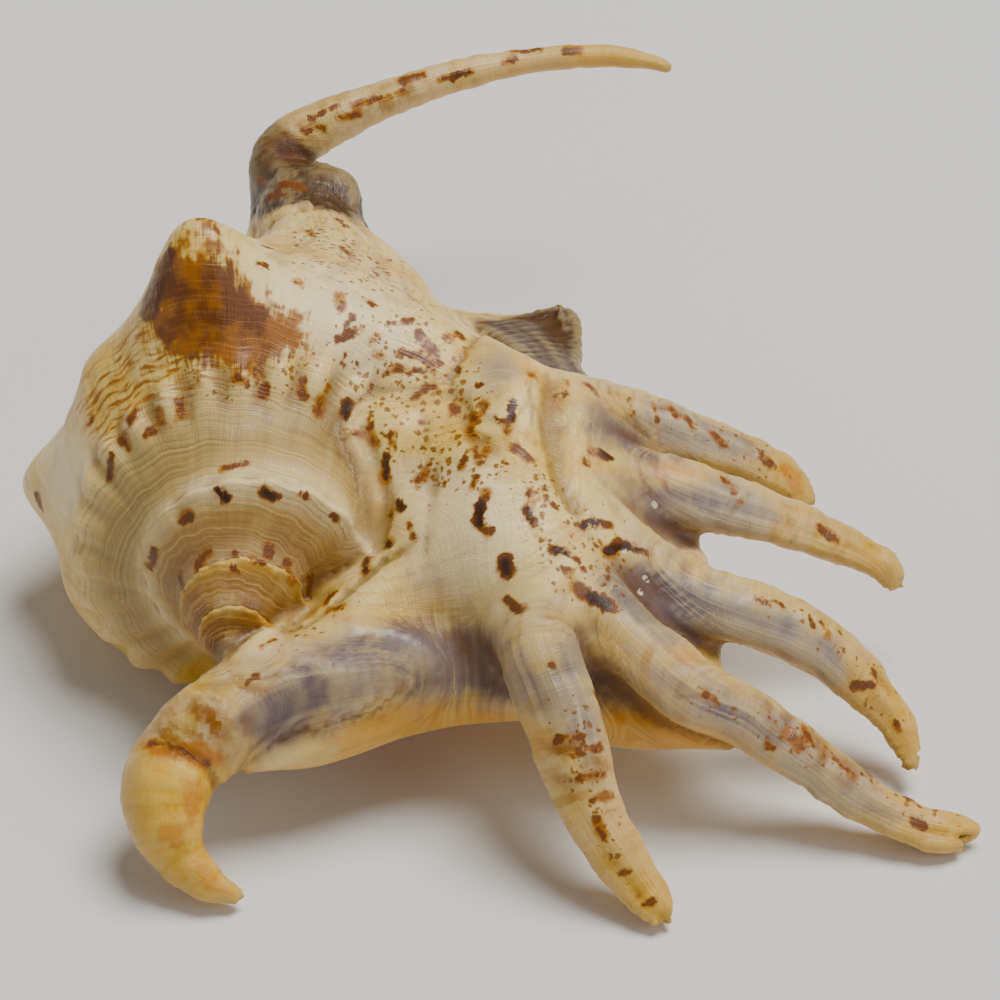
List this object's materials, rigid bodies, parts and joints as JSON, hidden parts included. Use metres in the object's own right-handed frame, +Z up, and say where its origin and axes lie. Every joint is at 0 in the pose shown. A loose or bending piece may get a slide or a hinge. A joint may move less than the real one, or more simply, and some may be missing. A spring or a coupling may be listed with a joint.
{
  "type": "spider conch shell",
  "caption": "Spider conch sea shell with a stepped spire, a humped whorl, a flared lip drawn out into long curved fingers, a curved canal and a slot opening underneath",
  "frame": {"origin": "centre of the outline seen from above, on the surface the shell rests on with its opening down", "axes": "+Y from the tip of the spire to the siphonal canal, +X towards the flared lip and its fingers, +Z up through the back of the shell"},
  "size_m": [0.1073, 0.119, 0.0489],
  "materials": {
    "shell": "satin"
  },
  "bodies": {
    "root": {"shell": "shell"}
  },
  "joints": []
}
